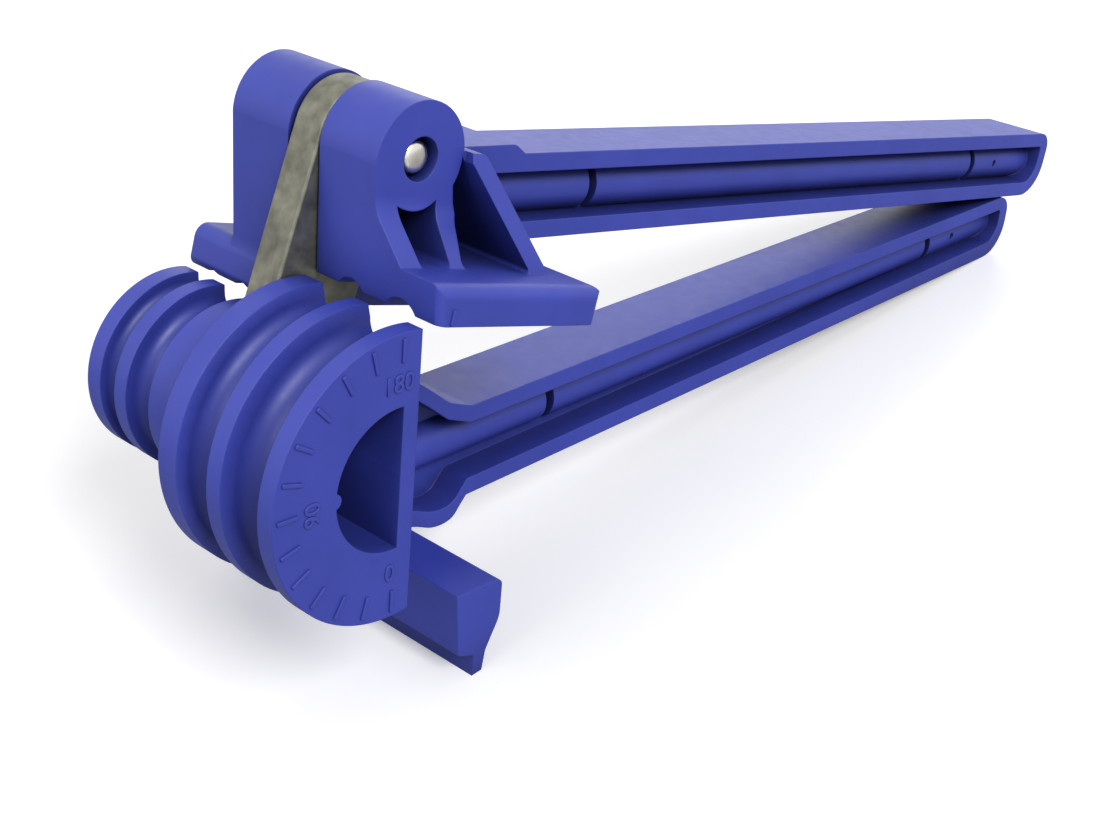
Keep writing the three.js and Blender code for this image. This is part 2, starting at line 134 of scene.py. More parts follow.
# a closed outline filled and pushed out along a direction
def pushed(name, points, along):
    piece = traced(name, points)
    bpy.ops.mesh.edge_face_add()
    bpy.ops.mesh.extrude_region_move(TRANSFORM_OT_translate={"value": along})
    endEdit()
    return piece


# an outline in X and Z between two stations along Y
def plate(name, outline, near, far):
    return pushed(name, [(x, near, z) for x, z in outline], (0, far - near, 0))


def block(left, right, near, far, bottom, top):
    deselectAll()
    place = ((left + right) / 2, (near + far) / 2, (bottom + top) / 2)
    size = (right - left, far - near, top - bottom)
    bpy.ops.mesh.primitive_cube_add(size=1, location=place, scale=size)
    bpy.ops.object.transform_apply(location=True, rotation=True, scale=True)
    return bpy.context.object


# a round bar from one point to another
def rod(start, end, radius, sides=96):
    deselectAll()
    start, end = Vector(start), Vector(end)
    run = end - start
    turn = run.to_track_quat("Z", "Y").to_euler()
    bpy.ops.mesh.primitive_cylinder_add(
        vertices=sides, radius=radius, depth=run.length, location=(start + end) / 2, rotation=turn)
    bpy.ops.object.transform_apply(location=True, rotation=True, scale=True)
    return bpy.context.object


def bar(radius, near, far, x=0, z=0, sides=96):
    return rod((x, near, z), (x, far, z), radius, sides)


# a body turned about the Y axis from a chain of (radius, station)
def turned(name, profile, steps=180):
    piece = traced(name, [(radius, y, 0) for radius, y in profile])
    bpy.ops.mesh.spin(steps=steps, angle=2 * math.pi, center=(0, 0, 0), axis=(0, 1, 0))
    bpy.ops.mesh.select_all(action="SELECT")
    bpy.ops.mesh.remove_doubles(threshold=finish["spinMerge"])
    endEdit()
    return piece


def applied(piece, kind, **settings):
    choose(piece)
    modifier = piece.modifiers.new(kind.lower(), kind)
    for key, value in settings.items():
        setattr(modifier, key, value)
    bpy.ops.object.modifier_apply(modifier=modifier.name)
    return piece


def combined(piece, other, operation):
    applied(piece, "BOOLEAN", object=other, operation=operation, solver="EXACT")
    bpy.data.objects.remove(other)
    return piece


def cut(piece, *others):
    for other in others:
        combined(piece, other, "DIFFERENCE")
    return piece


def join(piece, *others):
    for other in others:
        combined(piece, other, "UNION")
    return piece


def dropLoose():
    bpy.ops.mesh.delete_loose(use_faces=False)
    bpy.ops.mesh.select_all(action="SELECT")


# merge near points, close the hair cracks that cuts leave, and dissolve slivers and flat edges
def mended(piece):
    editAll(piece)
    bpy.ops.mesh.remove_doubles(threshold=finish["merge"])
    dropLoose()
    bpy.ops.mesh.fill_holes(sides=4)
    bpy.ops.mesh.select_all(action="SELECT")
    bpy.ops.mesh.dissolve_degenerate(threshold=finish["sliver"])
    dropLoose()
    bpy.ops.mesh.dissolve_limited(angle_limit=math.radians(finish["flat"]))
    endEdit()


def smoothed(piece):
    choose(piece)
    bpy.ops.object.shade_smooth_by_angle(angle=math.radians(finish["smooth"]))


# round the sharp edges, then shade smoothly between them
def softened(piece, width, segments=3):
    mended(piece)
    applied(piece, "BEVEL", width=width, segments=segments, limit_method="ANGLE",
            angle_limit=math.radians(finish["sharp"]), harden_normals=False, miter_outer="MITER_ARC")
    smoothed(piece)
    return applied(piece, "WEIGHTED_NORMAL", keep_sharp=True)


def laid(piece, place):
    piece.data.transform(place)
    return piece


# the arc that rounds a corner (x, z, radius) between its neighbours
def cornerArc(before, corner, after, arcStep=7):
    point = Vector(corner[:2])
    back = (Vector(before[:2]) - point).normalized()
    on = (Vector(after[:2]) - point).normalized()
    half = back.angle(on) / 2
    radius = corner[2]
    centre = point + (back + on).normalized() * radius / math.sin(half)
    first = point + back * radius / math.tan(half)
    turn = (math.pi - 2 * half) * (1 if on.cross(back) > 0 else -1)
    steps = max(2, math.ceil(abs(math.degrees(turn)) / arcStep))
    arm = first - centre
    return centre, [centre + Matrix.Rotation(turn * step / steps, 2) @ arm for step in range(steps + 1)]


# corners as (x, z) or (x, z, radius), made into a closed outline
def outlineOf(corners):
    points = []
    for index, corner in enumerate(corners):
        if len(corner) < 3:
            points.append(Vector(corner))
        else:
            after = corners[(index + 1) % len(corners)]
            points.extend(cornerArc(corners[index - 1], corner, after)[1])
    return points


# a smooth curve through points, by Catmull and Rom's formula
def throughPoints(points, steps=6):
    padded = [points[0], *points, points[-1]]
    curve = []
    for a, b, c, d in zip(padded, padded[1:], padded[2:], padded[3:]):
        a, b, c, d = (Vector(point) for point in (a, b, c, d))
        for step in range(steps):
            t = step / steps
            curve.append(((2 * b) + (c - a) * t + (2 * a - 5 * b + 4 * c - d) * t ** 2
                          + (3 * b - a - 3 * c + d) * t ** 3) / 2)
    return [*curve, Vector(points[-1])]


# Formers

former = dict(
    rim=0.030, smallRim=0.020, land=0.0192, flat=0.0045, hollow=0.015, hollowDepth=0.026, wall=0.0037,
    nub=0.0017, flare=0.0007, smallFlare=0.0001, dialRidge=0.0041, middleRidge=0.0039, landWidth=0.00895,
    farRidge=0.00385, pinHole=0.0035, edge=0.00045)
tubes = dict(large=0.00953, medium=0.00794, small=0.00635, tiny=0.00476)
mouths = {name: size + 2 * former["flare" if name in ("large", "medium") else "smallFlare"]
          for name, size in tubes.items()}
grooveAt = dict(large=former["dialRidge"] + mouths["large"] / 2)
grooveAt["medium"] = grooveAt["large"] + (mouths["large"] + mouths["medium"]) / 2 + former["middleRidge"]
grooveAt["small"] = slotFar + former["landWidth"] + mouths["small"] / 2
grooveAt["tiny"] = grooveAt["small"] + (mouths["small"] + mouths["tiny"]) / 2 + former["farRidge"]


# a groove from lip to lip, with the rims that it starts and ends on
def grooveChain(name, rimBefore, rimAfter, steps=20):
    radius = tubes[name] / 2
    centre = rimAfter - tool["grooveDepthShare"] * tubes[name] + radius
    y = grooveAt[name]
    chain = [(rimBefore, y - mouths[name] / 2)]
    for step in range(steps + 1):
        angle = math.pi * step / steps
        chain.append((centre - radius * math.sin(angle), y - radius * math.cos(angle)))
    return [*chain, (rimAfter, y + mouths[name] / 2)]


def withFlat(piece):
    return cut(piece, block(former["flat"], beyond, -beyond, beyond, -beyond, beyond))


def makeLargeFormer():
    rim = former["rim"]
    profile = [(0, 0), (rim, 0), *grooveChain("large", rim, rim), *grooveChain("medium", rim, rim)]
    piece = withFlat(turned("blueLargeFormer", [*profile, (rim, slotNear), (0, slotNear)]))
    depth = former["hollowDepth"]
    hollow = bar(former["hollow"], -clear, depth)
    cut(hollow, block(former["flat"] - former["wall"], beyond, -beyond, beyond, -beyond, beyond))
    cut(hollow, bar(former["nub"], -beyond, beyond, -former["hollow"] - former["nub"] / 4))
    cut(piece, hollow, bar(former["pinHole"], depth - gap, beyond))
    return laid(softened(piece, former["edge"]), toolFrame)


def makeSmallFormer():
    rim = former["smallRim"]
    profile = [(0, slotFar), (former["land"], slotFar), *grooveChain("small", former["land"], rim)]
    profile = [*profile, *grooveChain("tiny", rim, rim), (rim, toolWidth), (0, toolWidth)]
    piece = withFlat(turned("blueSmallFormer", profile))
    cut(piece, bar(former["pinHole"], 0, beyond))
    return laid(softened(piece, former["edge"]), toolFrame)


# Dial: raised ticks every 15 degrees and plain numbers

dial = dict(
    tickOuter=0.0289, tickLength=0.0048, tickWidth=0.0009, step=15, edge=0.00016,
    numberSize=0.0051, numberHeight=0.0002, numberEdge=0.00005, numberWiden=0.00006, numberCurve=6, numberMerge=1e-7,
    numbers=(("180", -0.0008, 0.0198, 0), ("90", -0.0205, -0.0008, -90), ("0", -0.0008, -0.0202, 0)))


def makeTick():
    height = tool["tickHeight"]
    half = dial["tickWidth"] / 2
    return block(-half, half, -height, height, -dial["tickOuter"], dial["tickLength"] - dial["tickOuter"])


def makeDialTicks():
    piece = makeTick()
    for count in range(1, 180 // dial["step"] + 1):
        tick = makeTick()
        tick.data.transform(Matrix.Rotation(math.radians(dial["step"] * count), 4, "Y"))
        join(piece, tick)
    piece.name = "dialTicks"
    return laid(softened(piece, dial["edge"], 2), toolFrame)


def makeDialNumber(words, x, z, turn):
    deselectAll()
    bpy.ops.object.text_add(location=(0, 0, 0))
    text = bpy.context.object.data
    text.body = words
    text.size = dial["numberSize"]
    text.align_x = "CENTER"
    text.align_y = "CENTER"
    text.extrude = dial["numberHeight"]
    text.bevel_depth = dial["numberEdge"]
    text.offset = dial["numberWiden"]
    text.resolution_u = dial["numberCurve"]
    bpy.ops.object.convert(target="MESH")
    piece = bpy.context.object
    piece.name = "dialNumber" + words
    editAll(piece)
    bpy.ops.mesh.remove_doubles(threshold=dial["numberMerge"])
    endEdit()
    upright = Matrix.Rotation(math.radians(turn), 4, "Y") @ Matrix.Rotation(math.pi / 2, 4, "X")
    return laid(piece, toolFrame @ Matrix.Translation((x, 0, z)) @ upright)


# Catch bar

catchBar = dict(
    left=0.0185, right=0.0316, depth=0.0148, topRound=0.0018, taper=0.0015, lipLeft=0.0245, lipWidth=0.0028,
    lipDrop=0.054, heel=((0.02805, -0.0489, 0.003), (0.0316, -0.042, 0.006)), underRound=0.0008, edge=0.0005)


def makeCatchBar():
    free = 1 - tool["grooveDepthShare"]
    top = -former["rim"] - free * tubes["large"] - gap
    farTop = -former["smallRim"] - free * tubes["small"] - gap
    floorRise = catchBar["lipWidth"] * math.tan(restAngle)

    def section(height):
        return outlineOf([
            (catchBar["lipLeft"], -catchBar["lipDrop"]),
            (catchBar["lipLeft"] + catchBar["lipWidth"], floorRise - catchBar["lipDrop"]),
            *catchBar["heel"],
            (catchBar["right"], height, catchBar["topRound"]),
            (catchBar["left"], height),
            (catchBar["left"] + catchBar["taper"], top - catchBar["depth"], catchBar["underRound"]),
            (catchBar["lipLeft"], top - catchBar["depth"] - catchBar["taper"], catchBar["underRound"]),
        ])

    piece = plate("blueCatchBar", section(top), 0, handleFar + 2 * gap)
    join(piece, plate("farStep", section(farTop), handleFar + gap, toolWidth))
    cut(piece, plate("rootRoom", lowerOutline(-gap), handleNear - gap, handleFar + gap))
    return laid(softened(piece, catchBar["edge"]), toolFrame)


# Handles

handle = dict(
    flange=0.004, web=0.004, cheekWall=0.0016, rib=0.006, bore=0.0026, slotWidth=0.0026, dimple=0.001,
    topRound=0.005, bottomRound=0.010, edge=0.0006, slotFromEnd=0.0375, dimpleFromEnd=0.0244)
lower = dict(
    start=0.049, end=0.276, top=-0.0091, endTop=-0.002, height=0.0219, endHeight=0.0175, deepStart=0.0207,
    blockStart=0.0125, firstSlot=0.0786, slotPlay=0.0006,
    rootTop=((1.4, -0.217), (1.05, 0.043), (0.667, 0.267), (0, 0.5)),
    rootBottom=((0, -0.933), (1, -1.1), (1.3, -1.2), (1.483, -1.19), (1.577, -1.1)))
upper = dict(
    end=0.2787, drop=0.0029, height=0.019, padDrop=0.0009, padEnd=0.0385, padRamp=0.0032, pocket=0.030,
    firstSlot=0.070)


def handleEnd(x, bottom, top, wall):
    return [
        (x - wall, bottom + wall, max(handle["bottomRound"] - wall, gap)),
        (x - wall, top - wall, max(handle["topRound"] - wall, gap)),
    ]


def rootCurve(shares, wall, rise):
    edge = former["flat"] + gap + wall
    rim = former["rim"]
    return throughPoints([(max(edge, x * rim), z * rim + rise) for x, z in shares])


def lowerOutline(wall):
    bottom = lower["top"] - lower["height"]
    endBottom = lower["endTop"] - lower["endHeight"]
    return outlineOf([
        (lower["start"], bottom + wall),
        *handleEnd(lower["end"], endBottom, lower["endTop"], wall),
        (lower["start"], lower["top"] - wall),
        *rootCurve(lower["rootTop"], wall, -wall),
        *rootCurve(lower["rootBottom"], wall, wall),
    ])


def lowerRib():
    start = (former["flat"] + handle["flange"] + handle["rib"], lower["top"] - lower["height"] / 2)
    return Vector(start), Vector((lower["end"] - handle["flange"], lower["endTop"] - lower["endHeight"] / 2))


# the pockets on both sides of a middle wall, right of a place along X
def cutPockets(piece, outline, wall, left):
    near = plate("nearPocket", outline, handleNear - clear, middleY - wall / 2)
    far = plate("farPocket", outline, middleY + wall / 2, handleFar + clear)
    for pocket in (near, far):
        combined(pocket, block(left, beyond, -beyond, beyond, -beyond, beyond), "INTERSECT")
        cut(piece, pocket)


def ribbed(piece, rib, slots, dimple):
    start, end = rib

    def along(x):
        point = start.lerp(end, (x - start.x) / (end.x - start.x))
        return Vector((point.x, middleY, point.y))

    tube = rod(along(start.x), along(end.x), handle["rib"], 64)
    half = handle["slotWidth"] / 2
    webHalf = handle["web"] / 2 - gap
    for x in slots:
        z = along(x).z
        tall = (z - handle["rib"], z + handle["rib"])
        cut(tube, block(x - half, x + half, handleNear, middleY - webHalf, *tall))
        cut(tube, block(x - half, x + half, middleY + webHalf, handleFar, *tall))
    z = along(dimple).z
    cut(tube, bar(handle["dimple"], handleNear, middleY - handle["rib"] + handle["dimple"], dimple, z, 24))
    reach = 2 * handle["slotWidth"] + gap
    join(piece, tube)
    return cut(piece, rod(along(slots[0] - reach), along(slots[1] + reach), handle["bore"], 32))


def makeLowerHandle():
    piece = plate("blueLowerHandle", lowerOutline(0), handleNear, handleFar)
    hollow = lowerOutline(handle["flange"])
    cutPockets(piece, hollow, slotFar - slotNear + 2 * handle["cheekWall"], 0)
    cutPockets(piece, hollow, handle["web"], lower["deepStart"])
    slots = (lower["firstSlot"], lower["end"] - handle["slotFromEnd"])
    ribbed(piece, lowerRib(), slots, lower["end"] - handle["dimpleFromEnd"])
    room = linkBody("linkRoom", lower["slotPlay"], slotNear, slotFar)
    room.data.transform(Matrix.Rotation(math.radians(tool["linkTilt"]), 4, "Y"))
    cut(piece, room, block(-beyond, lower["blockStart"], slotNear, slotFar, -beyond, beyond))
    return laid(softened(piece, handle["edge"]), toolFrame)


# where the upper handle lies: on the round top corner of the lower one's end
def findArmAngle():
    ends = handleEnd(lower["end"], lower["endTop"] - lower["endHeight"], lower["endTop"], 0)
    centre = cornerArc(ends[0], ends[1], (lower["start"], lower["top"]))[0]
    pin = Matrix.Rotation(math.radians(tool["linkTilt"]), 3, "Y") @ Vector((0, 0, linkPitch))
    across, up = centre.x - pin.x, centre.y - pin.z
    below = upper["drop"] + upper["height"] + handle["topRound"] + gap
    return math.atan2(across, up) - math.acos(-below / math.hypot(across, up))


armAngle = findArmAngle()
armFrame = frameAt(upperPin, restAngle + armAngle)


def fromShoe(x, z):
    angle = restAngle + armAngle - shoeAngle
    point = Matrix.Rotation(angle, 2) @ Vector((x, z))
    return point.x, point.y


def makeUpperHandle():
    bottom = -upper["drop"] - upper["height"]
    edge = lower["blockStart"] + gap
    side = outlineOf([
        fromShoe(edge, seatTop + gap),
        *handleEnd(upper["end"], bottom, -upper["drop"], 0),
        (upper["padEnd"] + upper["padRamp"], -upper["drop"]),
        (upper["padEnd"], -upper["padDrop"], upper["padRamp"]),
        fromShoe(edge, 0),
    ])
    flange = handle["flange"]
    hollow = outlineOf([
        (upper["pocket"], bottom + flange),
        *handleEnd(upper["end"], bottom, -upper["drop"], flange),
        (upper["pocket"], -upper["drop"] - flange),
    ])
    piece = plate("blueUpperHandle", side, handleNear, handleFar)
    cutPockets(piece, hollow, handle["web"], upper["pocket"])
    z = -upper["drop"] - upper["height"] / 2
    rib = Vector((upper["pocket"] - flange, z)), Vector((upper["end"] - flange, z))
    slots = (upper["firstSlot"], upper["end"] - handle["slotFromEnd"])
    ribbed(piece, rib, slots, upper["end"] - handle["dimpleFromEnd"])
    return laid(softened(piece, handle["edge"]), armFrame)


# Link and pins

link = dict(half=0.0109, hole=0.0035, edge=0.0006)
pins = dict(radius=0.0032, dome=0.0012, tail=0.0024, ringInner=0.0035, ringWidth=0.0024, ringThickness=0.0012,
            ringEdge=0.0003)


def linkBody(name, play, near, far, steps=48):
    radius = link["half"] + play
    arc = [(radius * math.cos(math.pi * step / steps), radius * math.sin(math.pi * step / steps))
           for step in range(steps + 1)]
    outline = [(x, linkPitch + z) for x, z in arc] + [(-x, -z) for x, z in arc]
    return plate(name, outline, near, far)


def makeLink():
    piece = linkBody("steelLink", 0, linkNear, linkFar)
    cut(piece, *(bar(link["hole"], -beyond, beyond, 0, z) for z in (0, linkPitch)))
    return laid(softened(piece, link["edge"]), linkFrame)


def makePin(name, near, far, place, steps=8):
    dome = [(pins["radius"] * math.sin(math.pi * step / steps / 2),
             pins["dome"] * math.cos(math.pi * step / steps / 2)) for step in range(steps + 1)]
    nearEnd = [(radius, near + pins["dome"] - rise) for radius, rise in dome]
    farEnd = [(radius, far - pins["dome"] + rise) for radius, rise in reversed(dome)]
    piece = turned(name, [*nearEnd, *farEnd], 64)
    smoothed(piece)
    return laid(piece, place)


def makeRing(name, face, place):
    near = face + gap
    outer = pins["ringInner"] + pins["ringWidth"]
    piece = bar(outer, near, near + pins["ringThickness"])
    piece.name = name
    cut(piece, bar(pins["ringInner"], -beyond, beyond))
    return laid(softened(piece, pins["ringEdge"]), place)


# Shoe, about its pin, with X along its underside

shoe = dict(
    boss=0.0114, bossNear=0.0177, bossFar=0.0602, recess=0.0044, pinRecess=0.0007, recessDepth=0.008,
    trail=0.0408, baseThickness=0.0079, seatThickness=0.006, baseRound=0.003, leadRound=0.002, nearOverhang=0.0012,
    footThickness=0.0091, webFoot=0.0098, shoulderDrop=0.010, shoulderRound=0.008, flankDrop=0.002,
    gussetFoot=0.0324, gussetNearFoot=0.0075, gussetNearTop=0.0158, gussetTop=0.0024, gussetReach=0.0155,
    gussetWall=0.0042, windowRoof=0.010, windowWall=0.0056, windowRound=0.0012, ribLeft=0.0065, ribFoot=0.0031,
    markWidth=0.0009, markInset=0.0026, markHeight=0.0034, edge=0.0005)
shoeDrop = linkPitch * math.cos(math.radians(tool["shoeLean"])) - former["rim"] - tool["shoeRun"]
shoeLead = math.sqrt((linkPitch - former["rim"] - gap) ** 2 - shoeDrop ** 2)
footDrop = shoeDrop + former["rim"] - former["smallRim"]
baseTop = shoe["baseThickness"] - shoeDrop
seatTop = shoe["seatThickness"] - shoeDrop
flankReach = math.sqrt(shoe["boss"] ** 2 - shoe["flankDrop"] ** 2)
flankLean = (flankReach - shoeLead) / (shoeDrop - shoe["flankDrop"])
gussetLean = (shoe["gussetFoot"] - shoe["gussetReach"]) / (shoe["gussetTop"] - baseTop)
gussetInside = shoe["gussetReach"] - shoe["gussetWall"] * math.hypot(1, gussetLean)
bossCorner = shoe["boss"] * math.sqrt(0.5)
ribRight = shoe["ribLeft"] + shoe["ribFoot"]
ribTop = ribRight + flankLean * (-shoe["shoulderDrop"] - baseTop)
faceY = -shoe["nearOverhang"]


def shoeSide(drop, inset=0, steps=120):
    first = math.asin(shoe["gussetTop"] / shoe["boss"])
    last = math.pi + math.asin(shoe["flankDrop"] / shoe["boss"])
    angles = [first + (last - first) * step / steps for step in range(steps + 1)]
    return outlineOf([
        (inset - shoeLead, -shoeDrop),
        (inset - shoeLead, -drop),
        (shoe["trail"] - inset, -drop, shoe["windowRound"]),
        (shoe["trail"] - inset, baseTop, shoe["baseRound"]),
        (shoe["gussetFoot"], baseTop, shoe["windowRound"]),
        (shoe["gussetReach"], shoe["gussetTop"], shoe["gussetWall"] / 2),
        *((shoe["boss"] * math.cos(angle), shoe["boss"] * math.sin(angle)) for angle in angles),
    ])


# what lies before the near face: a curve left of the gusset, straight at it, and a round trailing corner
def nearFaceCuts():
    fillet = shoe["baseRound"]
    top, front, right = shoe["boss"] + clear, faceY - clear, shoe["trail"] + clear
    base = [(front, top), (front, baseTop - 2 * fillet), (faceY, baseTop - 2 * fillet), (faceY, baseTop, fillet)]
    web = [(shoe["webFoot"], baseTop, shoe["windowRound"]),
           (shoe["bossNear"], -shoe["shoulderDrop"], shoe["shoulderRound"]), (shoe["bossNear"], top)]
    gusset = [(shoe["gussetNearFoot"], baseTop), (shoe["gussetNearTop"], shoe["gussetTop"]),
              (shoe["gussetNearTop"], top)]
    for side, start, end in ((web, -shoe["boss"] - clear, ribTop), (gusset, gussetInside - gap, right)):
        points = [(start, y, z) for y, z in outlineOf([*base, *side])]
        yield pushed("nearFace", points, (end - start, 0, 0))
    x, y = shoe["trail"] - fillet, faceY + fillet
    corner = block(x, right, front, y, -footDrop, 0)
    yield cut(corner, rod((x, y, -beyond), (x, y, beyond), fillet))


# the base's near corner at its leading end is round along the flank
def leadingCornerCut(margin=0.1):
    fillet = shoe["leadRound"]
    rise = Vector((-flankLean, 0, 1)) * shoe["baseThickness"]
    start = Vector((fillet - shoeLead, faceY + fillet, -shoeDrop)) - rise * margin
    points = [start + Vector((x, y, 0)) * 2 * fillet for x, y in ((0, 0), (-1, 0), (-1, -1), (0, -1))]
    corner = pushed("leadingCorner", points, rise * (1 + 2 * margin))
    return cut(corner, rod(start - rise, start + rise * 2, fillet))


def windowCuts():
    leftEdge = shoe["windowWall"] - shoeLead
    fillet = shoe["windowRound"]
    left = outlineOf([
        (leftEdge - flankLean * shoe["baseThickness"], baseTop, fillet),
        (shoe["ribLeft"], baseTop, fillet),
        (shoe["ribLeft"], 0),
        (leftEdge - flankLean * shoeDrop, 0),
    ])
    right = outlineOf([
        (ribRight, baseTop, fillet),
        (shoe["gussetFoot"] - shoe["gussetReach"] + gussetInside, baseTop, fillet / 2),
        (gussetInside, shoe["gussetTop"]),
        (bossCorner, shoe["gussetTop"]),
        (ribTop, -shoe["shoulderDrop"]),
    ])
    for outline, roof in ((left, shoe["windowRoof"]), (right, shoe["boss"] - gap)):
        window = plate("window", outline, -clear, handleNear)
        yield cut(window, bar(roof, -beyond, beyond))


def shoeGroove(name):
    drop = shoeDrop if name in ("large", "medium") else footDrop
    z = -drop - tool["shoeRun"] - (1 - tool["grooveDepthShare"]) * tubes[name]
    y = grooveAt[name]
    return rod((-beyond, y, z), (beyond, y, z), tubes[name] / 2 + gap, 64)


# joined parts lie a little inside each other, because faces in one plane would leave cracks
def makeShoe():
    piece = plate("blueShoe", shoeSide(shoeDrop), faceY, slotNear)
    cut(piece, *nearFaceCuts())
    mended(piece)
    cut(piece, leadingCornerCut(), *windowCuts())
    foot = outlineOf([
        (-shoeLead, -footDrop, shoe["leadRound"]),
        (shoe["trail"], -footDrop, shoe["windowRound"]),
        (shoe["trail"], shoe["footThickness"] - footDrop, shoe["baseRound"]),
        (-shoeLead, shoe["footThickness"] - footDrop, shoe["baseRound"]),
    ])
    farDrop = footDrop - shoe["windowRound"]
    farHalf = plate("farSide", shoeSide(farDrop, gap), slotFar, shoe["bossFar"])
    join(farHalf, plate("foot", foot, slotFar, toolWidth))
    start = lower["blockStart"]
    end = shoe["trail"] - shoe["baseThickness"]
    join(piece, farHalf, block(start, end, slotNear - gap, slotFar + gap, gap - shoeDrop, seatTop + gap))
    cut(piece, block(start - gap / 2, beyond, handleNear - gap, handleFar + gap, seatTop, beyond))
    cut(piece, bar(former["pinHole"], -beyond, beyond))
    cut(piece, bar(shoe["recess"], 0, shoe["bossNear"] + shoe["recessDepth"]))
    cut(piece, *(shoeGroove(name) for name in tubes))
    return laid(softened(piece, shoe["edge"]), shoeFrame)


def makeIndexMark():
    left = shoe["markInset"] - shoeLead
    near = faceY - tool["tickHeight"]
    low, high = gap - shoeDrop, shoe["markHeight"] - shoeDrop
    piece = block(left, left + shoe["markWidth"], near, faceY + tool["tickHeight"], low, high)
    piece.name = "indexMark"
    return laid(softened(piece, dial["edge"], 2), shoeFrame)


# Materials, all procedural, on object coordinates

def startMaterial(name, look):
    material = bpy.data.materials.new(name)
    material.use_nodes = True
    tree = material.node_tree
    shader = next(node for node in tree.nodes if node.bl_idname == "ShaderNodeBsdfPrincipled")
    shader.inputs["Roughness"].default_value = look["roughness"]
    shader.inputs["Metallic"].default_value = look["metallic"]
    return material, tree, shader


def noiseOn(tree, scale, detail, stretch=None):
    place = tree.nodes.new("ShaderNodeTexCoord")
    noise = tree.nodes.new("ShaderNodeTexNoise")
    noise.inputs["Scale"].default_value = scale
    noise.inputs["Detail"].default_value = detail
    source = place.outputs["Object"]
    if stretch:
        mapping = tree.nodes.new("ShaderNodeMapping")
        mapping.inputs["Scale"].default_value = stretch
        tree.links.new(source, mapping.inputs["Vector"])
        source = mapping.outputs["Vector"]
    tree.links.new(source, noise.inputs["Vector"])
    return noise.outputs["Fac"]


def ramped(tree, source, stops):
    ramp = tree.nodes.new("ShaderNodeValToRGB")
    elements = ramp.color_ramp.elements
    for index, (place, colour) in enumerate(stops):
        element = elements[index] if index < 2 else elements.new(place)
        element.position = place
        element.color = (*colour, 1)
    tree.links.new(source, ramp.inputs["Fac"])
    return ramp.outputs["Color"]


def spread(tree, source, low, high):
    span = tree.nodes.new("ShaderNodeMapRange")
    span.inputs["To Min"].default_value = low
    span.inputs["To Max"].default_value = high
    tree.links.new(source, span.inputs["Value"])
    return span.outputs["Result"]


def mixNode(tree, kind, colour):
    mix = tree.nodes.new("ShaderNodeMixRGB")
    mix.blend_type = kind
    mix.inputs["Fac"].default_value = 1
    tree.links.new(colour, mix.inputs["Color2"])
    return mix


def bumped(tree, shader, height, strength, distance, normal=None):
    bump = tree.nodes.new("ShaderNodeBump")
    bump.inputs["Strength"].default_value = strength
    bump.inputs["Distance"].default_value = distance
    tree.links.new(height, bump.inputs["Height"])
    if normal:
        tree.links.new(normal, bump.inputs["Normal"])
    tree.links.new(bump.outputs["Normal"], shader.inputs["Normal"])


# blue plastic, with painted shade that darkens its colour deep in its hollows, softly lit edges and a fine grain
plastic = dict(
    roughness=0.42, metallic=0, cloud=(55, 3), blues=((0.3, (0.037, 0.055, 0.38)), (0.7, (0.045, 0.065, 0.44))),
    paintedShadeReach=0.016, paintedShadeRamp=((0, (0.12, 0.12, 0.12)), (0.9, (1, 1, 1))), paintedShadeSamples=8,
    wear=(320, 5), rough=(0.36, 0.52), grain=(2600, 2), grainBump=(0.08, 0.0001), edge=0.0004, edgeSamples=6)


def makePlastic():
    material, tree, shader = startMaterial("bluePlastic", plastic)
    blue = ramped(tree, noiseOn(tree, *plastic["cloud"]), plastic["blues"])
    # painted shade: ambient occlusion darkens the base colour in hollows, grooves and creases
    shade = tree.nodes.new("ShaderNodeAmbientOcclusion")
    shade.samples = plastic["paintedShadeSamples"]
    shade.inputs["Distance"].default_value = plastic["paintedShadeReach"]
    mix = mixNode(tree, "MULTIPLY", ramped(tree, shade.outputs["AO"], plastic["paintedShadeRamp"]))
    tree.links.new(blue, mix.inputs["Color1"])
    tree.links.new(mix.outputs["Color"], shader.inputs["Base Color"])
    tree.links.new(spread(tree, noiseOn(tree, *plastic["wear"]), *plastic["rough"]), shader.inputs["Roughness"])
    corners = tree.nodes.new("ShaderNodeBevel")
    corners.samples = plastic["edgeSamples"]
    corners.inputs["Radius"].default_value = plastic["edge"]
    grain = noiseOn(tree, *plastic["grain"])
    bumped(tree, shader, grain, *plastic["grainBump"], corners.outputs["Normal"])
    return material


# stained grey steel of the link
linkSteel = dict(
    roughness=0.45, metallic=0.75, cloud=(260, 8),
    greys=((0.25, (0.11, 0.11, 0.09)), (0.5, (0.20, 0.20, 0.16)), (0.75, (0.30, 0.29, 0.23))),
    wear=(900, 6), rough=(0.35, 0.6), bump=(0.25, 0.00015))


# bright turned steel of the pins and rings
pinSteel = dict(
    roughness=0.25, metallic=1, cloud=(400, 4), greys=((0.3, (0.80, 0.77, 0.70)), (0.7, (0.94, 0.91, 0.84))),
    wear=(300, 6, (1, 12, 1)), rough=(0.18, 0.34), bump=(0.08, 0.0001))


def makeSteel(name, look):
    material, tree, shader = startMaterial(name, look)
    grey = ramped(tree, noiseOn(tree, *look["cloud"]), look["greys"])
    tree.links.new(grey, shader.inputs["Base Color"])
    wear = noiseOn(tree, *look["wear"])
    tree.links.new(spread(tree, wear, *look["rough"]), shader.inputs["Roughness"])
    bumped(tree, shader, wear, *look["bump"])
    return material


# Set, seen from where the photograph was taken

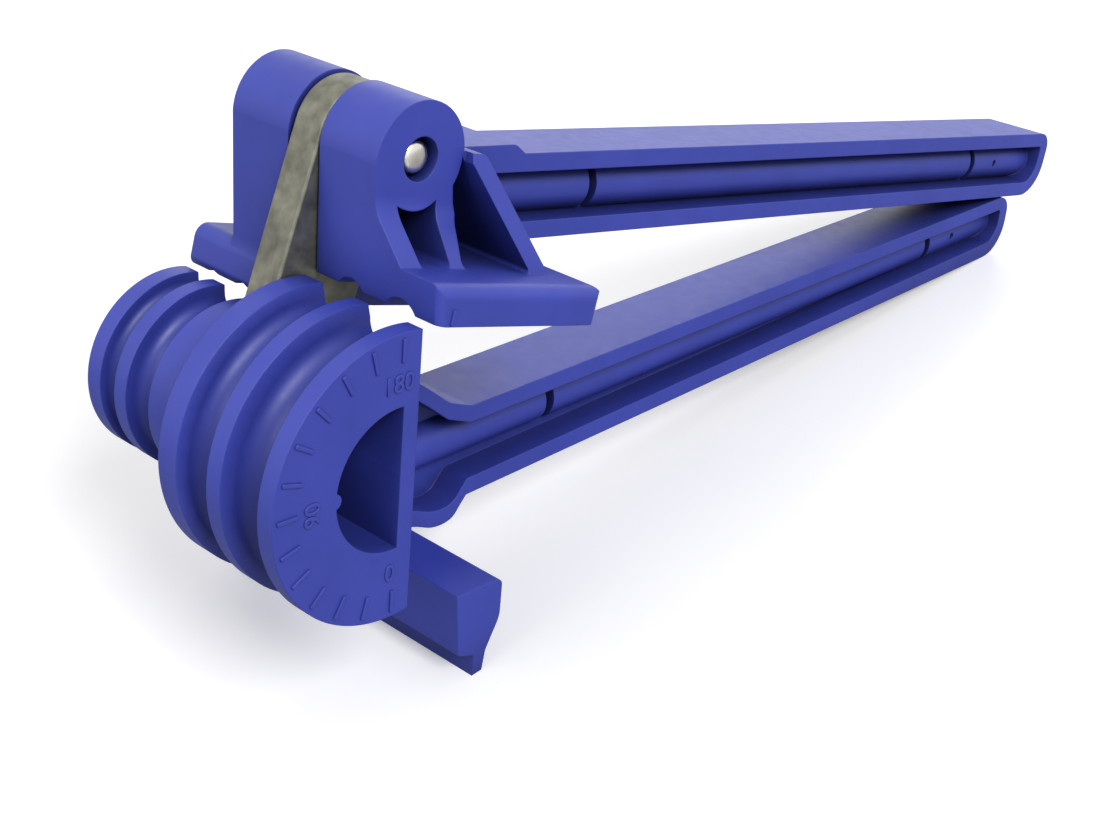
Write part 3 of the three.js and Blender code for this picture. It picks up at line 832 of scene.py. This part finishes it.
photo = dict(
    place=(-0.18762262, -0.22129764, 0.18537252), turn=(59.43750, 0.77709, -46.51778), lens=59.502, sensor=36,
    clipStart=0.01)
paper = dict(
    size=6, roughness=0.35, metallic=0, cloud=(4, 3), whites=((0.3, (0.93, 0.93, 0.94)), (0.7, (0.95, 0.95, 0.96))),
    bounce=(0.3, 0.3, 0.3, 1), glow=0.2, fibre=(900, 3), bump=(0.03, 0.0001))
light = dict(
    world=0.5, sun=2.05, sunTurn=(49, 0, -13), sunSize=25, aim=(-0.04, 0, 0.05),
    lamps=(("edgeLamp", (0.9, 0.6, 0.45), 1.6, 0.8), ("fillLamp", (-0.9, 0.1, 0.7), 2.5, 0.6)))


# white paper for the camera, and a darker one for the light that it throws back
def makeFloor():
    deselectAll()
    bpy.ops.mesh.primitive_plane_add(size=paper["size"], location=(0, 0, 0))
    floor = bpy.context.object
    floor.name = "paleFloor"
    material, tree, shader = startMaterial("paper", paper)
    seen = tree.nodes.new("ShaderNodeLightPath").outputs["Is Camera Ray"]
    mix = mixNode(tree, "MIX", ramped(tree, noiseOn(tree, *paper["cloud"]), paper["whites"]))
    mix.inputs["Color1"].default_value = paper["bounce"]
    tree.links.new(seen, mix.inputs["Fac"])
    tree.links.new(mix.outputs["Color"], shader.inputs["Base Color"])
    tree.links.new(spread(tree, seen, 0, paper["glow"]), shader.inputs["Emission Strength"])
    shader.inputs["Emission Color"].default_value = (1, 1, 1, 1)
    bumped(tree, shader, noiseOn(tree, *paper["fibre"]), *paper["bump"])
    floor.data.materials.append(material)


# white behind the tool, and a softer white as the light that it gives
def makeWorld():
    world = bpy.data.worlds.new("studio")
    bpy.context.scene.world = world
    world.use_nodes = True
    nodes, links = world.node_tree.nodes, world.node_tree.links
    nodes.clear()
    path = nodes.new("ShaderNodeLightPath")
    mix = nodes.new("ShaderNodeMixShader")
    for index, strength in ((1, light["world"]), (2, 1)):
        sky = nodes.new("ShaderNodeBackground")
        sky.inputs["Color"].default_value = (1, 1, 1, 1)
        sky.inputs["Strength"].default_value = strength
        links.new(sky.outputs["Background"], mix.inputs[index])
    seen = nodes.new("ShaderNodeMath")
    seen.operation = "MAXIMUM"
    links.new(path.outputs["Is Camera Ray"], seen.inputs[0])
    links.new(path.outputs["Is Glossy Ray"], seen.inputs[1])
    end = nodes.new("ShaderNodeOutputWorld")
    links.new(seen.outputs["Value"], mix.inputs["Fac"])
    links.new(mix.outputs["Shader"], end.inputs["Surface"])


def makeLamp(name, place, power, size):
    deselectAll()
    bpy.ops.object.light_add(type="AREA", location=place)
    lamp = bpy.context.object
    lamp.name = name
    lamp.data.energy = power
    lamp.data.size = size
    lamp.rotation_euler = (Vector(light["aim"]) - Vector(place)).to_track_quat("-Z", "Y").to_euler()


def makeSun():
    deselectAll()
    bpy.ops.object.light_add(type="SUN", location=(0, 0, 1))
    sun = bpy.context.object
    sun.name = "keySun"
    sun.data.energy = light["sun"]
    sun.data.angle = math.radians(light["sunSize"])
    sun.rotation_euler = [math.radians(angle) for angle in light["sunTurn"]]


def makeCamera():
    deselectAll()
    bpy.ops.object.camera_add(location=axis + Vector(photo["place"]))
    camera = bpy.context.object
    camera.name = "photoView"
    camera.rotation_euler = [math.radians(angle) for angle in photo["turn"]]
    camera.data.lens = photo["lens"]
    camera.data.sensor_width = photo["sensor"]
    camera.data.clip_start = photo["clipStart"]
    bpy.context.scene.camera = camera
    bpy.context.scene.view_settings.view_transform = "Standard"


# Assembly

materials = dict(
    blue_plastic=makePlastic(), link_steel=makeSteel("linkSteel", linkSteel),
    pin_steel=makeSteel("pinSteel", pinSteel))


def placed(piece, slot, body, *nodes):
    piece.data.materials.clear()
    piece.data.materials.append(materials[slot])
    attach(piece, body)
    if nodes:
        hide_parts(*nodes)
    print("made", piece.name, len(piece.data.polygons), "faces")


placed(makeLargeFormer(), "blue_plastic", "root", "large_former")
placed(makeDialTicks(), "blue_plastic", "root")
for words, x, z, turn in dial["numbers"]:
    placed(makeDialNumber(words, x, z, turn), "blue_plastic", "root")
placed(makeSmallFormer(), "blue_plastic", "root", "small_former")
placed(makeCatchBar(), "blue_plastic", "root", "catch_bar")
placed(makeLowerHandle(), "blue_plastic", "root", "lower_handle")
placed(makeLink(), "link_steel", "link", "link_plate")
placed(makeShoe(), "blue_plastic", "upper_arm", "shoe")
placed(makeIndexMark(), "blue_plastic", "upper_arm")
placed(makeUpperHandle(), "blue_plastic", "upper_arm", "upper_handle")

lowerPinNear = former["hollowDepth"] + 2 * gap
upperPinNear = shoe["bossNear"] + shoe["pinRecess"]
lowerPin = makePin("lowerPin", lowerPinNear, toolWidth + pins["tail"], toolFrame)
placed(lowerPin, "pin_steel", "root", "lower_pivot_pin")
placed(makeRing("lowerRing", toolWidth, toolFrame), "pin_steel", "root", "lower_pin_ring")
upperPinPiece = makePin("upperPin", upperPinNear, shoe["bossFar"] + pins["tail"], shoeFrame)
placed(upperPinPiece, "pin_steel", "upper_arm", "upper_pivot_pin")
placed(makeRing("upperRing", shoe["bossFar"], shoeFrame), "pin_steel", "upper_arm", "upper_pin_ring")

# the rods inside the handles keep their CAD shape
for name in ("lower_core_rod", "upper_core_rod"):
    rodData = frame["nodes"][name].data
    rodData.materials.clear()
    rodData.materials.append(materials["pin_steel"])

makeFloor()
makeWorld()
makeSun()
for lamp in light["lamps"]:
    makeLamp(*lamp)
makeCamera()
print("set and camera made")
